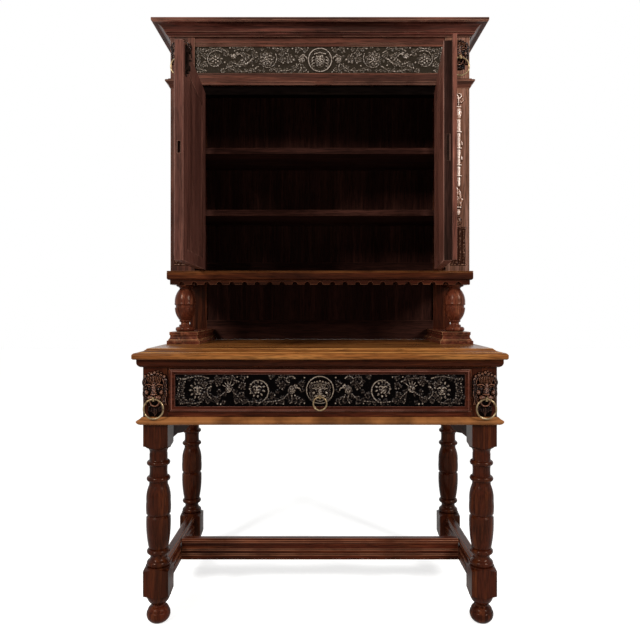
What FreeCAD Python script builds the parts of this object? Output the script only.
import FreeCAD, Part
import math
import os
import Sketcher

# A carved oak cabinet on a stand: a two-door cupboard on turned bulbs, above a table with one
# frieze drawer on four turned legs. +Z is up and -Y is the front. The origin lies on the floor,
# midway between the two sides and midway between the open doors' edges and the table's back.

doc = FreeCAD.newDocument("cabinet_on_stand")
sheet = doc.addObject("Spreadsheet::Sheet", "Sizes")
nodes = []


class Size:
    """A length: its value now, and the text that ties a property to the sheet."""

    def __init__(self, value, text):
        self.value = value
        self.text = text

    def __add__(self, other):
        return Size(self.value + other.value, f"({self.text} + {other.text})")

    def __sub__(self, other):
        return Size(self.value - other.value, f"({self.text} - {other.text})")

    def __mul__(self, share):
        return Size(self.value * share, f"({self.text} * {share})")

    def __truediv__(self, share):
        return Size(self.value / share, f"({self.text} / {share})")

    def __neg__(self):
        return Size(-self.value, f"(-1 * {self.text})")


class Sizes:
    """The sheet's aliases, read as sizes."""

    def __init__(self):
        self.values = {}

    def add(self, values):
        for name, value in values.items():
            self.values[name] = value
            row = len(self.values)
            sheet.set(f"A{row}", name)
            sheet.set(f"B{row}", str(value))
            sheet.setAlias(f"B{row}", name)

    def __getattr__(self, name):
        return Size(self.values[name], f"Sizes.{name}")


d = Sizes()
nil = Size(0, "0")


def place(thing, x=nil, y=nil, z=nil, turn=0, axis=(0, 0, 1)):
    """Stand a piece at a point, turned about an axis."""
    turned = FreeCAD.Rotation(FreeCAD.Vector(*axis), turn)
    thing.Placement = FreeCAD.Placement(FreeCAD.Vector(0, 0, 0), turned)
    thing.setExpression("Placement.Base.x", x.text)
    thing.setExpression("Placement.Base.y", y.text)
    thing.setExpression("Placement.Base.z", z.text)
    return thing


def node(thing, label):
    """Keep a piece as one of the part's own, under its name."""
    thing.Label = label
    nodes.append(thing)
    return thing


def board(label, across, deep, high):
    """A plain board between two sizes each way."""
    box = doc.addObject("Part::Box", label)
    box.Label = label
    box.setExpression("Length", (across[1] - across[0]).text)
    box.setExpression("Width", (deep[1] - deep[0]).text)
    box.setExpression("Height", (high[1] - high[0]).text)
    return place(box, across[0], deep[0], high[0])


def rod(label, x, y, z, radius, length, turn=0, axis=(0, 0, 1)):
    """A round bar from a point, along Z unless it is turned."""
    bar = doc.addObject("Part::Cylinder", label)
    bar.Label = label
    bar.setExpression("Radius", radius.text)
    bar.setExpression("Height", length.text)
    return place(bar, x, y, z, turn, axis)


def bump(label, x, y, z, half_wide, half_deep, half_high):
    """A rounded lump of the carving."""
    egg = doc.addObject("Part::Ellipsoid", label)
    egg.Label = label
    egg.Angle1 = -90
    egg.Angle2 = 90
    egg.setExpression("Radius2", half_wide.text)
    egg.setExpression("Radius3", half_deep.text)
    egg.setExpression("Radius1", half_high.text)
    return place(egg, x, y, z)


def joined(label, pieces):
    """One solid out of several."""
    fuse = doc.addObject("Part::MultiFuse", label)
    fuse.Label = label
    fuse.Shapes = pieces
    return fuse


def cut(label, base, tools):
    """A piece with others taken out of it."""
    for number, tool in enumerate(tools):
        out = doc.addObject("Part::Cut", f"{label}_{number}")
        out.Base = base
        out.Tool = tool
        base = out
    base.Label = label
    return base


def group(label, pieces):
    """Like pieces that share a name and stay separate solids."""
    both = doc.addObject("Part::Compound", label)
    both.Label = label
    both.Links = pieces
    return both


def sketch(body, plane, points, closed=True):
    """An outline of points (across, up, bulge) on one of the body's own planes, each tied to its sizes."""
    drawn = body.newObject("Sketcher::SketchObject", "Outline")
    support = [part for part in body.Origin.OriginFeatures if part.Role == plane][0]
    drawn.AttachmentSupport = [(support, "")]
    drawn.MapMode = "FlatFace"
    count = len(points)
    edges = count if closed else count - 1
    lines, ends, rules, ties = [], [], [], []
    for i in range(edges):
        start, stop = points[i], points[(i + 1) % count]
        first = FreeCAD.Vector(start[0].value, start[1].value, 0)
        last = FreeCAD.Vector(stop[0].value, stop[1].value, 0)
        bulge = start[2] if len(start) > 2 else 0
        if bulge:
            run = last - first
            middle = (first + last) / 2 + FreeCAD.Vector(run.y, -run.x, 0) * (bulge / 2)
            lines.append(Part.Arc(first, middle, last))
        else:
            lines.append(Part.LineSegment(first, last))
        ends.append((2, 1) if bulge < 0 else (1, 2))
    drawn.addGeometry(lines, False)
    for i in range(edges if closed else edges - 1):
        after = (i + 1) % edges
        rules.append(Sketcher.Constraint("Coincident", i, ends[i][1], after, ends[after][0]))
    for i in range(count):
        edge, end = (i, ends[i][0]) if i < edges else (edges - 1, ends[edges - 1][1])
        across, up = points[i][0], points[i][1]
        ties.append((len(rules), across.text))
        rules.append(Sketcher.Constraint("DistanceX", -1, 1, edge, end, across.value))
        ties.append((len(rules), up.text))
        rules.append(Sketcher.Constraint("DistanceY", -1, 1, edge, end, up.value))
        bulge = points[i][2] if len(points[i]) > 2 else 0
        if bulge and i < edges:
            far = points[(i + 1) % count]
            wide, tall = far[0] - across, far[1] - up
            part = (1 + bulge * bulge) / (4 * abs(bulge))
            radius = math.hypot(wide.value, tall.value) * part
            ties.append((len(rules), f"sqrt({wide.text}^2 + {tall.text}^2) * {part}"))
            rules.append(Sketcher.Constraint("Radius", i, radius))
    drawn.addConstraint(rules)
    for rule, text in ties:
        drawn.setExpression(f"Constraints[{rule}]", text)
    return drawn


def new_body(label, x=nil, y=nil, z=nil):
    """An empty piece that outlines and turnings are added to."""
    body = doc.addObject("PartDesign::Body", label)
    body.Label = label
    return place(body, x, y, z)


def pad(body, plane, points, length):
    """A flat outline given its thickness."""
    thick = body.newObject("PartDesign::Pad", "Pad")
    thick.Profile = sketch(body, plane, points)
    thick.setExpression("Length", length.text)
    return thick


def turning(body, points):
    """A half outline (radius, height, bulge) turned on the lathe about the body's Z axis."""
    turned = body.newObject("PartDesign::Revolution", "Turning")
    drawn = sketch(body, "XZ_Plane", points)
    turned.Profile = drawn
    turned.ReferenceAxis = (drawn, ["V_Axis"])
    turned.Angle = 360
    return turned


def cut_round(body, points):
    """A half outline taken off all round about the body's Z axis."""
    groove = body.newObject("PartDesign::Groove", "Groove")
    drawn = sketch(body, "XZ_Plane", points)
    groove.Profile = drawn
    groove.ReferenceAxis = (drawn, ["V_Axis"])
    groove.Angle = 360
    return groove


def run(body, planes, path, profile, closed):
    """A moulding: its section run along a path, mitred at the corners."""
    swept = body.newObject("PartDesign::AdditivePipe", "Moulding")
    swept.Profile = sketch(body, planes[1], profile)
    spine = sketch(body, planes[0], path, closed)
    swept.Spine = (spine, [f"Edge{i + 1}" for i in range(len(path) if closed else len(path) - 1)])
    swept.Transition = "Right corner"
    return swept


def three_sides(label, half_wide, front, back, z, profile):
    """A moulding round the front and both sides. The section gives how far out and how high."""
    body = new_body(label, -half_wide, back, z)
    path = [(nil, nil), (nil, front - back), (half_wide * 2, front - back), (half_wide * 2, nil)]
    run(body, ("XY_Plane", "XZ_Plane"), path, [(-point[0],) + point[1:] for point in profile], False)
    return body


def four_sides(label, x, half_wide, front, back, z, profile, core):
    """A block with a moulded edge all round. The core fills it inside the moulding."""
    body = new_body(label, x - half_wide, (front + back) / 2, z)
    half_deep = (back - front) / 2
    wide = half_wide * 2
    path = [(nil, nil), (nil, -half_deep), (wide, -half_deep), (wide, half_deep), (nil, half_deep)]
    run(body, ("XY_Plane", "XZ_Plane"), path, [(-point[0],) + point[1:] for point in profile], True)
    inner, height = core
    outline = [(inner, inner - half_deep), (wide - inner, inner - half_deep),
               (wide - inner, half_deep - inner), (inner, half_deep - inner)]
    pad(body, "XY_Plane", outline, height)
    return body


def picture_frame(label, x, half_wide, y, low, high, profile):
    """A mitred frame standing on edge. The section gives how far in and how far forward."""
    body = new_body(label, x - half_wide, y, (low + high) / 2)
    half_high = (high - low) / 2
    wide = half_wide * 2
    path = [(nil, nil), (nil, half_high), (wide, half_high), (wide, -half_high), (nil, -half_high)]
    run(body, ("XZ_Plane", "XY_Plane"), path, [(point[0], -point[1]) + point[2:] for point in profile], True)
    return body


def both_ways(pair):
    """The same span on the left and on the right."""
    return [(-pair[1], -pair[0]), pair]


# Whole cabinet: the sizes that the rest follows.
cabinet_sizes = {
    "table_width": 1100,
    "table_depth": 600,
    "table_height": 824,
    "top_thick": 31,
    "top_side_overhang": 26.5,
    "top_front_overhang": 29.5,
    "top_back_overhang": 10.5,
    "leg_block": 73,
    "frame_height": 194,
    "niche_height": 212,
    "waist_thick": 30,
    "waist_out": 7,
    "cupboard_height": 778,
    "cupboard_depth": 330,
    "cupboard_set_in": 53,
    "cupboard_back_gap": 3.5,
    "stile_width": 80,
    "cornice_height": 34,
    "fascia": 9,
    "knuckle_radius": 5,
    "running_gap": 0.3,
    "overrun": 5,
}
d.add(cabinet_sizes)
half_block = d.leg_block / 2
leg_x = d.table_width / 2 - d.top_side_overhang - half_block
leg_inside = leg_x - half_block
leg_outside = leg_x + half_block
leg_pitch_deep = d.table_depth - d.top_front_overhang - d.top_back_overhang - d.leg_block
rail_top = d.table_height - d.top_thick
frame_bottom = rail_top - d.frame_height
half_cupboard = d.table_width / 2 - d.cupboard_set_in
half_opening = half_cupboard - d.stile_width
waist_half = half_cupboard + d.waist_out
waist_bottom = d.table_height + d.niche_height
cupboard_bottom = waist_bottom + d.waist_thick
cupboard_top = cupboard_bottom + d.cupboard_height
table_back = leg_pitch_deep + half_block + d.top_back_overhang
cupboard_set_back = leg_pitch_deep + half_block - d.cupboard_back_gap - d.cupboard_depth
door_reach = half_opening + d.knuckle_radius * 2
front_legs = -(table_back + cupboard_set_back - door_reach) / 2
back_legs = front_legs + leg_pitch_deep
stand_front = front_legs - half_block
stand_back = back_legs + half_block
cupboard_front = front_legs + cupboard_set_back
cupboard_back = cupboard_front + d.cupboard_depth

# Legs: turned from the square, with a block at each end and three rings.
leg_sizes = {
    "foot_height": 55,
    "foot_neck_radius": 19,
    "low_block": 75,
    "low_block_lift": 27,
    "low_block_height": 89,
    "top_block_drop": 63,
    "shoulder_height": 10,
    "dowel_radius": 12,
    "dowel_length": 26,
}
d.add(leg_sizes)
low_block_bottom = d.foot_height + d.low_block_lift
low_block_top = low_block_bottom + d.low_block_height
top_block_bottom = frame_bottom - d.top_block_drop
# Shares of the turned length and of half the block, from the low block up.
leg_turning_shares = [
    (0.86, 0, 0.44), (0.86, 0.042, -0.3), (0.66, 0.078, 0), (0.74, 0.096, 0.9), (0.74, 0.14, 0),
    (0.8, 0.151, 0.06), (0.985, 0.397, 0), (0.86, 0.413, 0), (0.985, 0.429, 0.05), (0.985, 0.529, 0.12),
    (0.75, 0.666, 0), (0.75, 0.693, 0.95), (0.75, 0.737, -0.08), (0.75, 0.824, 0.95), (0.75, 0.865, 0),
    (0.73, 0.869, 0), (0.73, 0.917, -0.35), (0.97, 0.976, 0), (0.97, 1, 0),
]


def leg(label, x, y):
    body = new_body(label, x, y)
    half_low = d.low_block / 2
    turned = top_block_bottom - low_block_top
    points = [(nil, d.foot_height), (d.foot_neck_radius, d.foot_height, 0.2),
              (half_low * 0.95, low_block_bottom), (half_low * 0.8, low_block_top)]
    for radius_share, height_share, bulge in leg_turning_shares:
        points.append((half_block * radius_share, low_block_top + turned * height_share, bulge))
    points.append((half_block * 0.9, rail_top - d.overrun))
    points.append((nil, rail_top - d.overrun))
    turning(body, points)
    for half, low, high in ((half_low, low_block_bottom, low_block_top),
                            (half_block, top_block_bottom - d.shoulder_height, rail_top)):
        block = body.newObject("PartDesign::AdditiveBox", "Block")
        support = [part for part in body.Origin.OriginFeatures if part.Role == "XY_Plane"][0]
        block.AttachmentSupport = [(support, "")]
        block.MapMode = "FlatFace"
        block.setExpression("Length", (half * 2).text)
        block.setExpression("Width", (half * 2).text)
        block.setExpression("Height", (high - low).text)
        block.setExpression("AttachmentOffset.Base.x", (-half).text)
        block.setExpression("AttachmentOffset.Base.y", (-half).text)
        block.setExpression("AttachmentOffset.Base.z", low.text)
    far = half_low * 2
    rise = d.shoulder_height
    for half, edge, way in ((half_low, low_block_bottom, 1), (half_low, low_block_top, -1),
                            (half_block, top_block_bottom - rise, 1)):
        cut_round(body, [(half, edge - d.overrun * way), (far, edge - d.overrun * way),
                         (far, edge + rise * 1.6 * way), (half, edge + rise * 0.3 * way)])
    hole = body.newObject("PartDesign::SubtractiveCylinder", "DowelHole")
    support = [part for part in body.Origin.OriginFeatures if part.Role == "XY_Plane"][0]
    hole.AttachmentSupport = [(support, "")]
    hole.MapMode = "FlatFace"
    hole.setExpression("Radius", (d.dowel_radius + d.running_gap).text)
    hole.setExpression("Height", (d.dowel_length + d.overrun + d.running_gap).text)
    hole.setExpression("AttachmentOffset.Base.z", (d.foot_height - d.overrun).text)
    return node(body, label)


for side, x in (("left", -leg_x), ("right", leg_x)):
    leg(f"leg_front_{side}", x, front_legs)
    leg(f"leg_back_{side}", x, back_legs)

# Ball feet: turned separately and dowelled into the legs.
foot_sizes = {
    "foot_radius": 35,
    "foot_flat_radius": 16,
}
d.add(foot_sizes)
feet = []
for x in (-leg_x, leg_x):
    for y in (front_legs, back_legs):
        ball = new_body("ball_foot", x, y)
        ball_top = d.foot_height - d.foot_neck_radius / 4
        waist = ball_top / 2
        turning(ball, [(nil, nil), (d.foot_flat_radius, nil, 0.36), (d.foot_radius, waist, 0.38),
                       (d.foot_neck_radius, ball_top), (d.foot_neck_radius, d.foot_height),
                       (d.dowel_radius, d.foot_height), (d.dowel_radius, d.foot_height + d.dowel_length),
                       (nil, d.foot_height + d.dowel_length)])
        feet.append(ball)
node(group("ball_feet", feet), "ball_feet")

# Stretchers: an H of moulded rails between the low blocks.
stretcher_sizes = {
    "stretcher_height": 69,
    "stretcher_thick": 37,
    "stretcher_lift": 11,
}
d.add(stretcher_sizes)
stretcher_bottom = low_block_bottom + d.stretcher_lift
stretcher_shares = [(0.5, 0), (0.5, 0.22), (0.46, 0.25), (0.5, 0.29), (0.44, 0.31), (0.44, 0.45), (0.4, 0.48),
                    (0.44, 0.51), (0.36, 0.6), (0.36, 0.72), (0.46, 0.82), (0.44, 0.92), (0.3, 1)]


def stretcher_outline():
    right = [(d.stretcher_thick * wide, d.stretcher_height * tall) for wide, tall in stretcher_shares]
    return right + [(-x, z) for x, z in reversed(right)]


low_half = d.low_block / 2
sides = []
for side, x in (("left", -leg_x), ("right", leg_x)):
    rail = new_body(f"side_stretcher_{side}", x, back_legs - low_half, stretcher_bottom)
    pad(rail, "XZ_Plane", stretcher_outline(), leg_pitch_deep - d.low_block)
    sides.append(rail)
node(group("side_stretchers", sides), "side_stretchers")
middle_rail = new_body("middle_stretcher", -(leg_x - d.stretcher_thick / 2), (front_legs + back_legs) / 2,
                       stretcher_bottom)
pad(middle_rail, "YZ_Plane", stretcher_outline(), leg_x * 2 - d.stretcher_thick)
node(middle_rail, "middle_stretcher")

# Table frame: thin rails above and below the drawer, boards at the sides and back.
frame_sizes = {
    "rail_set_in": 3,
    "rail_deep": 24,
    "low_rail": 38,
    "high_rail": 29,
    "drawer_gap": 2,
    "apron_thick": 22,
    "guide_thick": 22,
    "guide_set_out": 7.5,
    "guide_drop": 13,
    "guide_arch": 17,
    "runner_deep": 9,
    "drawer_side_thick": 12,
}
d.add(frame_sizes)
drawer_low = frame_bottom + d.low_rail + d.drawer_gap
drawer_high = rail_top - d.high_rail - d.drawer_gap
between_legs = (-leg_inside, leg_inside)
rail_front = stand_front + d.rail_set_in
rails = [
    board("drawer_rail_low", between_legs, (rail_front, rail_front + d.rail_deep),
          (frame_bottom, drawer_low - d.drawer_gap)),
    board("drawer_rail_high", between_legs, (rail_front, rail_front + d.rail_deep),
          (drawer_high + d.drawer_gap, rail_top)),
]
node(group("front_rails", rails), "front_rails")
apron_back = stand_back - d.rail_set_in
apron_high = (frame_bottom, rail_top)
aprons = [board("back_apron", between_legs, (apron_back - d.apron_thick, apron_back), apron_high)]
leg_gap = (front_legs + half_block, back_legs - half_block)
apron_outside = leg_outside - d.rail_set_in
for across in both_ways((apron_outside - d.apron_thick, apron_outside)):
    aprons.append(board("side_apron", across, leg_gap, apron_high))
node(group("table_aprons", aprons), "table_aprons")

# Guide boards stand inside the aprons and keep the drawer straight. Brackets are sawn in their
# lower edge.
guide_inside = leg_inside + d.guide_set_out
guide_bottom = top_block_bottom - d.guide_drop
guides = []
for x in (guide_inside, -(guide_inside + d.guide_thick)):
    panel = new_body("guide_board", x, leg_gap[0], guide_bottom)
    long, tall = leg_gap[1] - leg_gap[0], rail_top - guide_bottom
    arched = [(nil, nil, -0.3), (long * 0.1, d.guide_arch), (long * 0.22, d.guide_arch),
              (long * 0.4, d.guide_arch * 0.3), (long * 0.6, d.guide_arch * 0.3),
              (long * 0.78, d.guide_arch), (long * 0.9, d.guide_arch, -0.3), (long, nil), (long, tall),
              (nil, tall)]
    pad(panel, "YZ_Plane", arched, d.guide_thick)
    guides.append(panel)
node(group("guide_boards", guides), "guide_boards")
runners = []
kicker_low = drawer_high + d.running_gap
drawer_outside = leg_inside - d.drawer_gap
for across in both_ways((drawer_outside - d.drawer_side_thick, guide_inside)):
    runners.append(board("drawer_runner", across, leg_gap,
                         (drawer_low - d.running_gap - d.runner_deep, drawer_low - d.running_gap)))
    runners.append(board("drawer_kicker", across, leg_gap,
                         (kicker_low, kicker_low + d.runner_deep)))
node(group("drawer_runners", runners), "drawer_runners")

# Mouldings mitred round the frame: an ovolo under the top and a pointed moulding along its foot.
frame_moulding_sizes = {
    "bed_height": 24,
    "bed_out": 16,
    "foot_mould_height": 23,
    "foot_mould_out": 17.5,
}
d.add(frame_moulding_sizes)
bed = three_sides("bed_moulding", leg_outside, stand_front, stand_back, rail_top - d.bed_height, [
    (nil, nil), (d.bed_out * 0.1, nil, -0.4), (d.bed_out, d.bed_height * 0.6), (d.bed_out, d.bed_height),
    (nil, d.bed_height)])
low_mould = three_sides("foot_moulding", leg_outside, stand_front, stand_back, frame_bottom, [
    (nil, nil), (d.foot_mould_out * 0.3, nil, -0.3), (d.foot_mould_out, d.foot_mould_height * 0.48),
    (d.foot_mould_out * 0.9, d.foot_mould_height * 0.6, 0.12), (d.foot_mould_out * 0.2, d.foot_mould_height),
    (nil, d.foot_mould_height)])
node(group("frame_mouldings", [bed, low_mould]), "frame_mouldings")

# Table top: thick boards. A rounded nose, a step and a hollow are worked on the edge.
top_sizes = {
    "top_nose": 19,
    "top_step": 15,
    "top_hollow": 36,
    "top_core": 46,
}
d.add(top_sizes)
top_back = front_legs + table_back
top = four_sides("table_top", nil, d.table_width / 2, top_back - d.table_depth, top_back, rail_top, [
    (-d.top_core, nil), (-d.top_nose * 0.25, nil, -0.3), (nil, d.top_nose * 0.3),
    (nil, d.top_nose * 0.6, -0.35),
    (-d.top_nose * 0.35, d.top_nose), (-d.top_step, d.top_nose), (-d.top_step, d.top_nose * 1.1, 0.2),
    (-d.top_hollow, d.top_thick), (-d.top_core, d.top_thick)], (d.top_core - d.overrun, d.top_thick))
node(top, "table_top")


def lion(label, x, face, z, half_wide, half_high, mouth, eye):
    """A carved lion mask on a flat face, with room in its mouth for the ring's eye."""
    proud = half_wide * 0.55
    lumps = [
        bump("mane", x, face, z, half_wide, proud, half_high),
        bump("brow", x, face - proud * 0.55, z + half_high * 0.2,
             half_wide * 0.6, proud * 0.75, half_high * 0.4),
        bump("muzzle", x, face - proud * 0.7, z - half_high * 0.35,
             half_wide * 0.4, proud * 0.75, half_high * 0.3),
        bump("chin", x, face - proud * 0.45, mouth - half_high * 0.2,
             half_wide * 0.3, proud * 0.5, half_high * 0.2),
    ]
    behind = board("behind_mask", (x - half_wide * 2, x + half_wide * 2), (face, face + half_wide * 2),
                   (z - half_high * 2, z + half_high * 2))
    wide, tall = eye
    socket = board("mouth", (x - wide, x + wide), (face - half_wide, face), (mouth - tall, mouth + tall))
    return cut(label, joined(f"{label}_lumps", lumps), [behind, socket])


def ring_eye(label, x, face, mouth, out, bore):
    """A brass eye driven into the face, with a cross hole for the ring."""
    wide, thick = d.eye_wide / 2, d.eye_wall
    stem = board("eye_stem", (x - wide, x + wide), (face - out, face),
                 (mouth - bore - thick, mouth + bore + thick))
    hole = rod("eye_hole", x - wide - d.overrun, face - out + bore + thick, mouth, bore,
               d.eye_wide + d.overrun * 2, 90, (0, 1, 0))
    return cut(label, stem, [hole])


def ring(label, x, y, mouth, radius, wire):
    """A ring of round brass wire hanging from its eye."""
    hoop = doc.addObject("Part::Torus", label)
    hoop.setExpression("Radius1", radius.text)
    hoop.setExpression("Radius2", wire.text)
    return node(place(hoop, x, y, mouth - radius, 90, (1, 0, 0)), label)


# Lion masks of the stand, with brass rings in their mouths.
lion_sizes = {
    "eye_wide": 7,
    "eye_wall": 2.4,
    "ring_wire": 2.75,
    "ring_play": 0.6,
    "mask_half_wide": 36,
    "mask_half_high": 46,
    "mask_down": 75,
    "mask_mouth_down": 41,
    "mask_ring_radius": 28.75,
    "eye_reach": 27,
    "mask_gap": 0.5,
}
d.add(lion_sizes)
mask_centre = rail_top - d.mask_down
mask_mouth = mask_centre - d.mask_mouth_down
bore = d.ring_wire + d.ring_play
eye_room = (d.eye_wide / 2 + d.mask_gap, bore + d.eye_wall + d.mask_gap)
pivot_back = d.eye_reach - bore - d.eye_wall
masks, eyes = [], []
for side, x in (("left", -leg_x), ("right", leg_x)):
    masks.append(lion(f"stand_mask_{side}", x, stand_front, mask_centre, d.mask_half_wide, d.mask_half_high,
                      mask_mouth, eye_room))
    eyes.append(ring_eye(f"stand_eye_{side}", x, stand_front, mask_mouth, d.eye_reach, bore))
    ring(f"ring_lower_{side}", x, stand_front - pivot_back, mask_mouth, d.mask_ring_radius, d.ring_wire)
node(group("lower_lion_masks", masks), "lower_lion_masks")

# Drawer: a dovetailed box behind a framed and carved front.
drawer_sizes = {
    "drawer_front_thick": 22,
    "drawer_front_proud": 2,
    "drawer_box_back": 60,
    "drawer_bottom_thick": 8,
    "drawer_bottom_rise": 8,
    "drawer_frame_set_in": 6,
    "drawer_frame_band": 14,
    "drawer_frame_proud": 8,
    "carving_ground": 3,
    "medallion_radius": 41,
    "wreath_radius": 22,
    "boss_proud": 5,
}
d.add(drawer_sizes)
drawer_front = rail_front - d.drawer_front_proud
front_inside = drawer_front + d.drawer_front_thick
box_back = apron_back - d.drawer_box_back
node(board("drawer_front", (-drawer_outside, drawer_outside), (drawer_front, front_inside),
           (drawer_low, drawer_high)), "drawer_front")
box = []
for across in both_ways((drawer_outside - d.drawer_side_thick, drawer_outside)):
    box.append(board("drawer_side", across, (front_inside, box_back), (drawer_low, drawer_high)))
inside = drawer_outside - d.drawer_side_thick
bottom_top = drawer_low + d.drawer_bottom_rise + d.drawer_bottom_thick
box.append(board("drawer_back", (-inside, inside), (box_back - d.drawer_side_thick, box_back),
                 (bottom_top, drawer_high)))
node(group("drawer_box", box), "drawer_box")
node(board("drawer_floor", (-inside, inside), (front_inside, box_back),
           (drawer_low + d.drawer_bottom_rise, bottom_top)), "drawer_bottom")
band, proud = d.drawer_frame_band, d.drawer_frame_proud
frame_half = drawer_outside - d.drawer_frame_set_in
drawer_frame = picture_frame("drawer_frame", nil, frame_half, drawer_front, drawer_low, drawer_high, [
    (nil, nil), (band, nil), (band, proud * 0.35), (band * 0.85, proud * 0.35, -0.3),
    (band * 0.55, proud * 0.9), (band * 0.3, proud), (band * 0.1, proud * 0.7), (nil, proud * 0.7)])
node(drawer_frame, "drawer_front_moulding")


def carved(label, half_wide, ground, low, high, bosses):
    """A carved board: its ground with the round medallions standing out of it."""
    middle = (low + high) / 2
    lumps = [board("ground", (-half_wide, half_wide), (ground, ground + d.carving_ground), (low, high))]
    for centre, radius in bosses:
        lumps.append(rod("boss", centre, ground + d.carving_ground, middle, radius,
                         d.carving_ground + d.boss_proud, 90, (1, 0, 0)))
    return joined(label, lumps)


carve_half = frame_half - band
carving_front = drawer_front - d.carving_ground
carve_low, carve_high = drawer_low + band, drawer_high - band
boss_shares = [0.43, 0.86]
bosses = [(nil, d.medallion_radius)]
for share in boss_shares:
    bosses = bosses + [(carve_half * share, d.wreath_radius), (carve_half * -share, d.wreath_radius)]
drawer_carving = carved("drawer_carving", carve_half, carving_front, carve_low, carve_high, bosses)
node(drawer_carving, "drawer_carved_panel")

# Drawer pull: a smaller lion in the medallion holding a ring.
pull_sizes = {
    "pull_half": 27,
    "pull_lift": 7.5,
    "pull_mouth_down": 24,
    "pull_reach": 22,
    "pull_ring_radius": 19.5,
    "pull_ring_wire": 2.5,
}
d.add(pull_sizes)
boss_face = carving_front - d.boss_proud
pull_centre = (drawer_low + drawer_high) / 2 + d.pull_lift
pull_mouth = pull_centre - d.pull_mouth_down
pull_bore = d.pull_ring_wire + d.ring_play
pull_room = (d.eye_wide / 2 + d.mask_gap, pull_bore + d.eye_wall + d.mask_gap)
node(lion("drawer_lion", nil, boss_face, pull_centre, d.pull_half, d.pull_half, pull_mouth,
          pull_room), "drawer_lion_mask")
node(ring_eye("drawer_eye", nil, boss_face, pull_mouth, d.pull_reach, pull_bore), "drawer_ring_eye")
pull_back = d.pull_reach - pull_bore - d.eye_wall
ring("drawer_ring", nil, boss_face - pull_back, pull_mouth, d.pull_ring_radius, d.pull_ring_wire)

# Plinths: long moulded blocks on the table top that carry the bulbs and the niche's sides.
plinth_sizes = {
    "plinth_width": 108,
    "plinth_height": 41,
    "plinth_edge": 11,
    "waist_forward": 24,
    "back_frame_thick": 22,
}
d.add(plinth_sizes)
waist_front = cupboard_front - d.waist_forward
back_frame = cupboard_back - d.back_frame_thick
plinth_x = waist_half - d.plinth_width / 2
edge, tall = d.plinth_edge, d.plinth_height
plinths = []
for side, x in (("left", -plinth_x), ("right", plinth_x)):
    plinths.append(four_sides(
        f"plinth_{side}", x, d.plinth_width / 2, waist_front, back_frame, d.table_height,
        [(-edge * 2, nil), (nil, nil), (nil, tall * 0.3), (-edge * 0.35, tall * 0.3),
         (-edge * 0.35, tall * 0.38, 0.3),
         (-edge * 0.8, tall * 0.75), (-edge * 0.65, tall * 0.75), (-edge * 0.65, tall), (-edge * 2, tall)],
        (edge * 2 - d.overrun, tall)))
node(group("plinths", plinths), "plinths")

# Bulbs: turned supports with a waist ring, between the plinths and the cupboard's floor.
bulb_sizes = {
    "bulb_set_in": 42,
    "bulb_set_back": 54,
    "bulb_radius": 35.5,
    "apron_drop": 15,
}
d.add(bulb_sizes)
bulb_shares = [
    (0.78, 0, 0.62), (0.78, 0.1, 0), (0.57, 0.115, 0), (0.57, 0.14, 0), (0.42, 0.155, 0), (0.42, 0.2, 0),
    (0.5, 0.21, 0.7), (0.5, 0.24, 0.18), (0.965, 0.505, 0), (0.885, 0.567, 0), (0.975, 0.61, 0.22),
    (0.51, 0.92, -0.25), (0.8, 1, 0)]
plinth_top = d.table_height + d.plinth_height
apron_low = waist_bottom - d.apron_drop
bulb_tall = apron_low - plinth_top
bulbs = []
bulb_x = half_cupboard - d.bulb_set_in
for side, x in (("left", -bulb_x), ("right", bulb_x)):
    bulb = new_body(f"bulb_{side}", x, waist_front + d.bulb_set_back, plinth_top)
    outline = [(d.bulb_radius * wide, bulb_tall * high, bend) for wide, high, bend in bulb_shares]
    turning(bulb, [(nil, nil)] + outline + [(nil, bulb_tall)])
    bulbs.append(bulb)
node(group("bulbs", bulbs), "bulbs")

# Waist board: the cupboard's floor, rounded under, with a scalloped board below it. One notch
# lies on the middle of the front.
waist_sizes = {
    "waist_core": 26,
    "scallop_pitch": 41.5,
    "scallop_radius": 9,
    "apron_board": 18,
    "apron_set_in": 9,
    "corner_block": 60,
}
d.add(waist_sizes)
waist_thick = d.waist_thick
waist = four_sides("waist_board", nil, waist_half, waist_front, back_frame, waist_bottom, [
    (-d.waist_core, nil), (-waist_thick * 0.25, nil, -0.4), (nil, waist_thick * 0.25),
    (nil, waist_thick * 0.84), (-waist_thick * 0.06, waist_thick * 0.87), (nil, waist_thick * 0.9),
    (nil, waist_thick), (-d.waist_core, waist_thick)], (d.waist_core - d.overrun, waist_thick))
node(waist, "waist_board")
apron_half = waist_half - d.apron_set_in
apron_front = waist_front + d.apron_set_in
scallops = new_body("scallop_front", -apron_half, apron_front + d.apron_board, apron_low)
pad(scallops, "XZ_Plane", [(nil, nil), (apron_half * 2, nil), (apron_half * 2, d.apron_drop),
                           (nil, d.apron_drop)], d.apron_board)
notch = scallops.newObject("PartDesign::Pocket", "Notch")
notches_a_side = int(apron_half.value // d.scallop_pitch.value)
first_notch = apron_half - d.scallop_pitch * notches_a_side
notch.Profile = sketch(scallops, "XZ_Plane", [
    (first_notch - d.scallop_radius, -d.overrun), (first_notch + d.scallop_radius, -d.overrun),
    (first_notch + d.scallop_radius, d.apron_drop * 0.12, 0.85),
    (first_notch - d.scallop_radius, d.apron_drop * 0.12)])
notch.Type = "ThroughAll"
notch.Midplane = True
notches = scallops.newObject("PartDesign::LinearPattern", "Notches")
notches.Originals = [notch]
across_axis = [part for part in scallops.Origin.OriginFeatures if part.Role == "X_Axis"][0]
notches.Direction = (across_axis, [""])
notches.Occurrences = notches_a_side * 2 + 1
notches.setExpression("Length", (d.scallop_pitch * (notches_a_side * 2)).text)
scallops.Tip = notches
returns = [scallops]
for across in both_ways((apron_half - d.apron_board, apron_half)):
    returns.append(board("scallop_return", across, (apron_front + d.apron_board, back_frame),
                         (apron_low, waist_bottom)))
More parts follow.
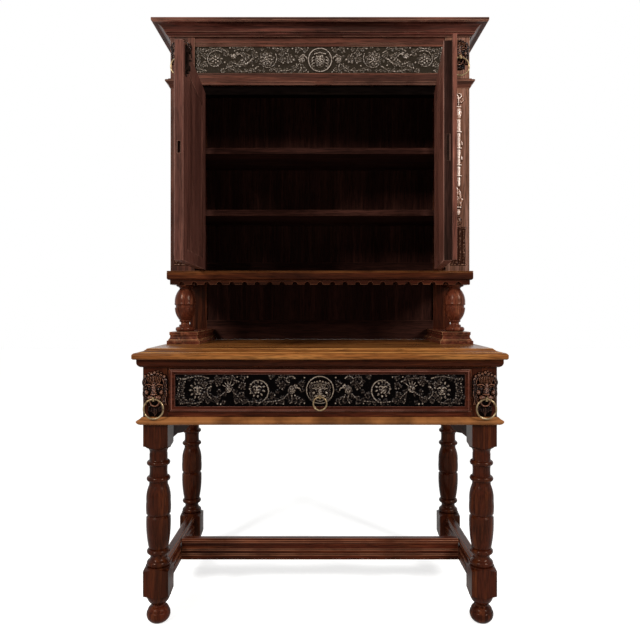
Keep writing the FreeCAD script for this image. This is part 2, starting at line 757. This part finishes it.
return_inside, block_front = apron_half - d.apron_board, apron_front + d.apron_board
for across in both_ways((return_inside - d.corner_block, return_inside)):
    returns.append(board("corner_block", across, (block_front, block_front + d.corner_block),
                         (apron_low, waist_bottom)))
node(group("scalloped_apron", returns), "scalloped_apron")

# Back: one framed wall from the table top to the cornice, with flat panels.
back_sizes = {
    "back_stile": 65,
    "niche_rail": 72,
    "waist_rail_rise": 50,
    "back_top_rail": 70,
    "muntin": 90,
    "back_panel_thick": 8,
    "back_panel_set_in": 7,
}
d.add(back_sizes)
stile_inside = half_cupboard - d.back_stile
back_deep = (back_frame, cupboard_back)
stiles = [board("back_stile", across, back_deep, (d.table_height, cupboard_top))
          for across in both_ways((stile_inside, half_cupboard))]
node(group("back_stiles", stiles), "back_stiles")
between_stiles = (-stile_inside, stile_inside)
niche_top = d.table_height + d.niche_rail
middle_rail_top = cupboard_bottom + d.waist_rail_rise
head_low = cupboard_top - d.back_top_rail
back_rails = [
    board("niche_rail", between_stiles, back_deep, (d.table_height, niche_top)),
    board("waist_rail", between_stiles, back_deep, (waist_bottom, middle_rail_top)),
    board("head_rail_back", between_stiles, back_deep, (head_low, cupboard_top)),
    board("back_muntin", (-d.muntin / 2, d.muntin / 2), back_deep, (middle_rail_top, head_low)),
]
node(group("back_rails", back_rails), "back_rails")
panel_deep = (back_frame + d.back_panel_set_in, back_frame + d.back_panel_set_in + d.back_panel_thick)
panels = [board("niche_panel", between_stiles, panel_deep, (niche_top, waist_bottom))]
for across in both_ways((d.muntin / 2, stile_inside)):
    panels.append(board("back_panel", across, panel_deep, (middle_rail_top, head_low)))
node(group("back_panels", panels), "back_panels")

# Cupboard: side boards, front stiles that carry the pilasters, shelves on battens.
cupboard_sizes = {
    "stile_thick": 25,
    "side_thick": 22,
    "shelf_thick": 20,
    "shelf_high_up": 423,
    "shelf_low_up": 212,
    "shelf_set_back": 52,
    "batten": 18,
}
d.add(cupboard_sizes)
side_inside = half_cupboard - d.side_thick
carcass_high = (cupboard_bottom, cupboard_top)
stile_back = cupboard_front + d.stile_thick
walls = [board("cupboard_side", across, (stile_back, back_frame), carcass_high)
         for across in both_ways((side_inside, half_cupboard))]
node(group("cupboard_sides", walls), "cupboard_sides")
posts = [board("front_stile", across, (cupboard_front, stile_back), carcass_high)
         for across in both_ways((half_opening, half_cupboard))]
node(group("front_stiles", posts), "front_stiles")
shelf_deep = (cupboard_front + d.shelf_set_back, back_frame)
shelves, battens = [], []
for top_face in (cupboard_bottom + d.shelf_high_up, cupboard_bottom + d.shelf_low_up):
    shelf_under = top_face - d.shelf_thick
    shelves.append(board("shelf", (-side_inside, side_inside), shelf_deep, (shelf_under, top_face)))
    for across in both_ways((side_inside - d.batten, side_inside)):
        battens.append(board("shelf_batten", across, shelf_deep, (shelf_under - d.batten, shelf_under)))
node(group("shelves", shelves), "shelves")
node(group("shelf_battens", battens), "shelf_battens")

# Frieze: a carved board between two rails, each with a bead, over a head rail that the doors close
# under.
frieze_sizes = {
    "head_show": 29,
    "head_gap": 2,
    "head_set_in": 15,
    "head_deep": 35,
    "frieze_low_rail": 39,
    "frieze_height": 89,
    "frieze_top_rail": 29,
    "frieze_set_in": 4,
    "frieze_medallion": 36,
    "rail_bead": 6,
    "rail_quirk": 4,
    "quirk_deep": 3,
    "bolt_radius": 4,
    "bolt_throw": 14,
    "bolt_from_edge": 36,
}
d.add(frieze_sizes)
frieze_high = cupboard_top - d.frieze_top_rail
frieze_low = frieze_high - d.frieze_height
frieze_rail_low = frieze_low - d.frieze_low_rail
head_bottom = frieze_rail_low - d.head_show
door_top = head_bottom - d.head_gap
across_opening = (-half_opening, half_opening)
head_front = cupboard_front + d.head_set_in
frieze_deep = (cupboard_front + d.frieze_set_in, stile_back)
quirk_back = (cupboard_front, cupboard_front + d.frieze_set_in + d.quirk_deep)
rails = []
for label, low, high in (("frieze_rail_low", frieze_rail_low, frieze_low),
                         ("frieze_rail_high", frieze_high, cupboard_top)):
    bead_top = low + d.rail_bead
    quirk = board("rail_quirk_cut", across_opening, quirk_back, (bead_top, bead_top + d.rail_quirk))
    rails.append(cut(label, board(f"{label}_board", across_opening, frieze_deep, (low, high)), [quirk]))
node(group("frieze_rails", rails), "frieze_rails")
frieze_ground = cupboard_front + d.frieze_set_in + d.boss_proud
frieze_bosses = [(nil, d.frieze_medallion)]
for share in boss_shares:
    frieze_bosses = frieze_bosses + [(half_opening * share, d.wreath_radius),
                                     (half_opening * -share, d.wreath_radius)]
node(carved("frieze_carving", half_opening, frieze_ground, frieze_low, frieze_high, frieze_bosses),
     "frieze_carved_panel")

# String course, cornice and top board round the head of the cupboard.
cornice_sizes = {
    "string_height": 30,
    "string_drop": 12,
    "string_out": 15,
    "cornice_out": 52,
    "cornice_core": 22,
}
d.add(cornice_sizes)
string_high, out = d.string_height, d.string_out
string_bottom = frieze_rail_low - d.string_drop
string_shares = [(0, 0), (0.15, 0), (0.35, 0.3), (1, 0.62), (1, 0.8), (0.4, 0.93), (0.4, 1), (0, 1)]
blocks = []
for x, way in ((-half_cupboard, -1), (half_cupboard, 1)):
    block = new_body("string_block", x, back_frame, string_bottom)
    path = [(nil, nil), (nil, cupboard_front - back_frame), ((half_opening - half_cupboard) * way,
                                                            cupboard_front - back_frame)]
    run(block, ("XY_Plane", "XZ_Plane"), path,
        [(out * way * wide, string_high * high) for wide, high in string_shares], False)
    blocks.append(block)
node(group("string_course", blocks), "string_course")
cornice_tall = d.cornice_height
far_out = d.cornice_out
cornice = three_sides("cornice", half_cupboard, cupboard_front, cupboard_back, cupboard_top, [
    (-d.cornice_core, nil), (far_out * 0.12, nil), (far_out * 0.12, cornice_tall * 0.06, -0.35),
    (far_out * 0.27, cornice_tall * 0.27), (far_out * 0.2, cornice_tall * 0.27),
    (far_out * 0.2, cornice_tall * 0.34), (far_out * 0.3, cornice_tall * 0.34, 0.35),
    (far_out * 0.88, cornice_tall * 0.9), (far_out * 0.94, cornice_tall * 0.9),
    (far_out * 0.94, cornice_tall),
    (-d.cornice_core, cornice_tall)])
node(cornice, "cornice")
top_half = half_cupboard + far_out
node(board("top", (-top_half, top_half), (cupboard_front - far_out, cupboard_back),
           (cupboard_top + cornice_tall, cupboard_top + cornice_tall + d.fascia)), "top_board")

# Upper lion masks on the corner blocks.
upper_lion_sizes = {
    "upper_mask_set_in": 36,
    "upper_mask_half_wide": 33,
    "upper_mask_half_high": 38,
    "upper_mask_down": 42,
    "upper_mouth_down": 34,
    "upper_ring_radius": 29.5,
}
d.add(upper_lion_sizes)
masks = []
stile_x = half_cupboard - d.upper_mask_set_in
upper_centre = cupboard_top - d.upper_mask_down
mouth = upper_centre - d.upper_mouth_down
for side, x in (("left", -stile_x), ("right", stile_x)):
    masks.append(lion(f"cupboard_mask_{side}", x, cupboard_front, upper_centre, d.upper_mask_half_wide,
                      d.upper_mask_half_high, mouth, eye_room))
    eyes.append(ring_eye(f"cupboard_eye_{side}", x, cupboard_front, mouth, d.eye_reach, bore))
    ring(f"ring_upper_{side}", x, cupboard_front - pivot_back, mouth, d.upper_ring_radius, d.ring_wire)
node(group("upper_lion_masks", masks), "upper_lion_masks")
node(group("ring_eyes", eyes), "ring_eyes")

# Pilasters: a carved drop on each front stile over a short fluted panel.
pilaster_sizes = {
    "pilaster_half": 15,
    "pilaster_proud": 9,
    "drop_low_up": 149,
    "flute_half": 24,
    "flute_low_up": 24,
    "flute_height": 100,
    "flute_proud": 5,
}
d.add(pilaster_sizes)
drops = []
drop_low, drop_high = cupboard_bottom + d.drop_low_up, head_bottom
flute_low = cupboard_bottom + d.flute_low_up
for x in (-stile_x, stile_x):
    drop_mid = (drop_low + drop_high) / 2
    long = drop_high - drop_low
    parts = [
        board("drop_rod", (x - d.pilaster_half * 0.4, x + d.pilaster_half * 0.4),
              (cupboard_front - d.pilaster_proud * 0.7, cupboard_front),
              (drop_low + long * 0.1, drop_high - long * 0.12)),
        bump("drop_leaf", x, cupboard_front, drop_mid + long * 0.4, d.pilaster_half, d.pilaster_proud,
             long * 0.08),
        bump("drop_husk", x, cupboard_front, drop_mid + long * 0.12, d.pilaster_half * 0.8, d.pilaster_proud,
             long * 0.1),
        bump("drop_tassel", x, cupboard_front, drop_mid - long * 0.4, d.pilaster_half * 0.9, d.pilaster_proud,
             long * 0.1),
    ]
    behind = board("behind_drop", (x - d.pilaster_half * 2, x + d.pilaster_half * 2),
                   (cupboard_front, cupboard_front + d.pilaster_half * 2), (drop_low, drop_high))
    drops.append(cut("pilaster_drop", joined("drop_lumps", parts), [behind]))
    drops.append(board("flute_panel", (x - d.flute_half, x + d.flute_half),
                       (cupboard_front - d.flute_proud, cupboard_front),
                       (flute_low, flute_low + d.flute_height)))
node(group("pilaster_ornaments", drops), "pilaster_ornaments")

# Doors: framed and panelled, hung on butt hinges at the corners of the opening. They stand open.
door_sizes = {
    "door_thick": 23,
    "door_lift": 5,
    "door_rail": 62,
    "door_low_rail": 34,
    "door_panel_thick": 10,
    "door_panel_set_in": 1.5,
    "door_recess": 8,
    "door_mould_band": 26,
    "door_mould_proud": 11,
    "meeting_gap": 1,
    "leaf_thick": 1.5,
    "leaf_width": 30,
    "hinge_height": 60,
    "hinge_from_end": 80,
    "pin_radius": 2.5,
    "pin_play": 0.05,
    "astragal_width": 22,
    "astragal_over": 9,
    "astragal_rise": 12,
    "lock_up": 301,
    "lock_height": 32,
    "lock_thick": 9,
    "lock_case_deep": 50,
    "lock_case_height": 70,
    "lock_bolt_throw": 9,
    "lock_bolt_long": 30,
    "escutcheon_radius": 9,
    "escutcheon_thick": 1.5,
    "plate_half": 11,
    "plate_height": 80,
    "plate_thick": 2,
}
d.add(door_sizes)
left_open_angle = 87.7
right_open_angle = 83.0
axis_x = half_opening - d.leaf_thick - d.running_gap / 2
axis_y = cupboard_front - d.knuckle_radius - d.running_gap
outer = cupboard_front + d.door_recess - axis_y
inner = outer + d.door_thick
hinge_edge = d.leaf_thick + d.running_gap / 2
free_edge = axis_x - d.meeting_gap
door_bottom = cupboard_bottom + d.door_lift
lock_centre = door_bottom + d.lock_up
door_high = (door_bottom, door_top)
hinge_heights = (door_bottom + d.hinge_from_end, door_top - d.hinge_from_end - d.hinge_height)


def span(side, low, high):
    """A span measured from the hinge towards the free edge, on either door."""
    return (low, high) if side == "left" else (-high, -low)


def hang(thing, side, label):
    """Put a piece of a door on its hinge axis, as far open as the door stands."""
    angle = -left_open_angle if side == "left" else right_open_angle
    return node(place(thing, -axis_x if side == "left" else axis_x, axis_y, nil, angle), label)


def mortice(side, depth):
    """The slot for the lock in the door's free edge."""
    return board("mortice", span(side, free_edge - depth, free_edge + d.overrun),
                 ((outer + inner) / 2 - d.lock_thick / 2, (outer + inner) / 2 + d.lock_thick / 2),
                 (lock_centre - d.lock_height / 2, lock_centre + d.lock_height / 2))


fixed_leaves = []
for side in ("left", "right"):
    edge_stile = span(side, hinge_edge, hinge_edge + d.door_rail)
    free_stile = span(side, free_edge - d.door_rail, free_edge)
    between = span(side, hinge_edge + d.door_rail, free_edge - d.door_rail)
    deep = (outer, inner)
    rim = board("door_stile_free", free_stile, deep, door_high)
    if side == "right":
        case_room = board("case_room", span(side, free_edge - d.lock_case_deep, free_edge + d.overrun),
                          ((outer + inner) / 2 - d.lock_thick / 2, (outer + inner) / 2 + d.lock_thick / 2),
                          (lock_centre - d.lock_case_height / 2, lock_centre + d.lock_case_height / 2))
        rim = cut("door_stile_lock", rim, [case_room])
    else:
        rim = cut("door_stile_struck", rim, [mortice(side, d.lock_bolt_throw * 2)])
    frame = group(f"{side}_frame_pieces", [
        board("door_stile_hinge", edge_stile, deep, door_high),
        rim,
        board("door_rail_low", between, deep, (door_bottom, door_bottom + d.door_low_rail)),
        board("door_rail_high", between, deep, (door_top - d.door_rail, door_top)),
    ])
    hang(frame, side, f"{side}_door_frame")
    panel = board(f"{side}_panel", between,
                  (inner - d.door_panel_set_in - d.door_panel_thick, inner - d.door_panel_set_in),
                  (door_bottom + d.door_low_rail, door_top - d.door_rail))
    hang(group(f"{side}_panel_held", [panel]), side, f"{side}_door_panel")
    mould_half = (free_edge - hinge_edge) / 2 - d.door_rail + d.door_mould_band
    way = 1 if side == "left" else -1
    band, proud = d.door_mould_band, d.door_mould_proud
    mould = picture_frame(
        f"{side}_mould", (hinge_edge + free_edge) / 2 * way, mould_half, outer,
        door_bottom + d.door_low_rail - band, door_top - d.door_rail + band,
        [(nil, nil), (band, nil), (band, proud * 0.3, -0.3), (band * 0.6, proud * 0.8),
         (band * 0.35, proud, 0.3), (band * 0.1, proud * 0.6), (nil, proud * 0.5)])
    hang(group(f"{side}_mould_held", [mould]), side, f"{side}_door_moulding")
    leaves = []
    third = (d.hinge_height - d.running_gap * 2) / 3
    for z in hinge_heights:
        leaf_top = z + d.hinge_height
        leaf_high = (z, leaf_top)
        moved = span(side, d.running_gap / 2, hinge_edge)
        middle_low = z + third + d.running_gap
        moving = joined("door_leaf", [
            board("door_leaf_plate", moved, (outer, d.leaf_width), leaf_high),
            board("door_leaf_neck", moved, (nil, outer), (middle_low, middle_low + third)),
            rod("door_barrel", nil, nil, middle_low, d.knuckle_radius, third)])
        drill = rod("door_leaf_bore", nil, nil, z - d.overrun, d.pin_radius + d.pin_play,
                    d.hinge_height + d.overrun * 2)
        leaves.append(cut("door_leaf_bored", moving, [drill]))
        still = span(side, -hinge_edge, -d.running_gap / 2)
        fixed = joined("fixed_leaf", [
            board("fixed_plate", still, (d.knuckle_radius + d.running_gap, d.leaf_width), leaf_high),
            board("fixed_neck_low", still, (nil, d.leaf_width), (z, z + third)),
            board("fixed_neck_high", still, (nil, d.leaf_width), (leaf_top - third, leaf_top)),
            rod("fixed_barrel_low", nil, nil, z, d.knuckle_radius, third),
            rod("fixed_barrel_high", nil, nil, leaf_top - third, d.knuckle_radius, third),
            rod("hinge_pin", nil, nil, z, d.pin_radius, d.hinge_height)])
        fixed_leaves.append(place(fixed, -axis_x if side == "left" else axis_x, axis_y, nil))
    hang(group(f"{side}_leaves", leaves), side, f"{side}_hinge_leaves")
node(group("hinge_plates_held", fixed_leaves), "hinge_plates")

# Astragal on the right door, its lock with the bolt and escutcheon.
strip_far = free_edge + d.meeting_gap * 2 + d.astragal_over
strip_near = strip_far - d.astragal_width
strip = board("astragal_strip", span("right", strip_near, strip_far),
              (outer - d.door_mould_proud, outer - d.running_gap),
              (door_bottom + d.head_gap, door_top + d.astragal_rise))
lip = board("astragal_back", span("right", strip_near, free_edge), (outer - d.running_gap * 2, outer),
            door_high)
hang(joined("astragal_joined", [strip, lip]), "right", "astragal")
mid_thick = (outer + inner) / 2
case_deep = (mid_thick - d.lock_thick / 2, mid_thick + d.lock_thick / 2)
case_high = (lock_centre - d.lock_case_height / 2, lock_centre + d.lock_case_height / 2)
bolt_half = d.lock_thick / 4
bolt_high = (lock_centre - d.lock_height / 4, lock_centre + d.lock_height / 4)
bolt_deep = (mid_thick - bolt_half, mid_thick + bolt_half)
slip = d.running_gap
case = cut("lock_case", board("lock_body", span("right", free_edge - d.lock_case_deep, free_edge), case_deep,
                              case_high),
           [board("lock_slot", span("right", free_edge - d.lock_bolt_long - slip, free_edge + d.overrun),
                  (bolt_deep[0] - slip, bolt_deep[1] + slip), (bolt_high[0] - slip, bolt_high[1] + slip))])
plate = rod("escutcheon", -(free_edge - d.lock_case_deep * 0.48), outer, lock_centre, d.escutcheon_radius,
            d.escutcheon_thick, 90, (1, 0, 0))
hang(group("lock_pieces", [case, plate]), "right", "lock_and_escutcheon")
hang(group("lock_bolt_held", [board("lock_bolt_bar", span("right", free_edge - d.lock_bolt_long, free_edge),
                                    bolt_deep, bolt_high)]), "right", "lock_bolt")

# Flush bolt inside the left door, which shoots up into the head rail.
bolt_x = free_edge - d.bolt_from_edge
bolt_y = inner + d.plate_thick + d.bolt_radius + slip
plate_top = door_top - d.head_gap
staple_half = d.bolt_radius + d.plate_thick + slip
plate_back = board("bolt_back", (bolt_x - d.plate_half, bolt_x + d.plate_half),
                   (inner, inner + d.plate_thick), (plate_top - d.plate_height, plate_top))
staples = []
staple_share = 0.14
staple_down_shares = (0.24, 0.84)
for share in staple_down_shares:
    low = plate_top - d.plate_height * share
    staples.append(board("bolt_staple", (bolt_x - staple_half, bolt_x + staple_half),
                         (inner, bolt_y + staple_half), (low, low + d.plate_height * staple_share)))
bolt_room = rod("bolt_room", bolt_x, bolt_y, plate_top - d.plate_height, d.bolt_radius + slip,
                d.plate_height + d.overrun)
hang(group("bolt_plate_held", [cut("bolt_plate_cut", joined("bolt_plate_joined", [plate_back] + staples),
                                   [bolt_room])]), "left", "bolt_plate")
bolt_long = d.plate_height * 0.94
knob = rod("bolt_knob", bolt_x, bolt_y, plate_top - d.plate_height * 0.5, d.bolt_radius * 0.6,
           d.bolt_radius * 2.5, -90, (1, 0, 0))
shaft = rod("bolt_rod", bolt_x, bolt_y, plate_top - bolt_long, d.bolt_radius, bolt_long)
hang(joined("door_bolt_joined", [shaft, knob]), "left", "door_bolt")

# The head rail takes the bolt in a drilled hole.
keeper_x = -axis_x + bolt_x
keeper_y = axis_y + bolt_y
head = board("head_board", across_opening, (head_front, head_front + d.head_deep),
             (head_bottom, frieze_rail_low))
keeper = rod("keeper_hole", keeper_x, keeper_y, head_bottom - d.overrun, d.bolt_radius + d.meeting_gap,
             d.bolt_throw + d.overrun * 2)
node(cut("head_rail", head, [keeper]), "head_rail")

doc.recompute()
failed = [thing for thing in doc.Objects if "Invalid" in thing.State or "Error" in thing.State]
for thing in failed:
    owner = thing.getParentGeoFeatureGroup()
    print("failed:", thing.Label, "in", owner.Label if owner else "the document", thing.getStatusString())
if failed:
    raise RuntimeError("some pieces could not be built")
labels = [thing.Label for thing in nodes]
if len(set(labels)) != len(labels):
    raise RuntimeError("two pieces share a name")
for thing in nodes:
    if thing.Shape.isNull() or not thing.Shape.isValid():
        raise RuntimeError(f"{thing.Label}: bad shape")
os.makedirs("parts", exist_ok=True)
for thing in nodes:
    thing.Shape.exportStep(f"parts/{thing.Label}.step")
print(len(nodes), "pieces")
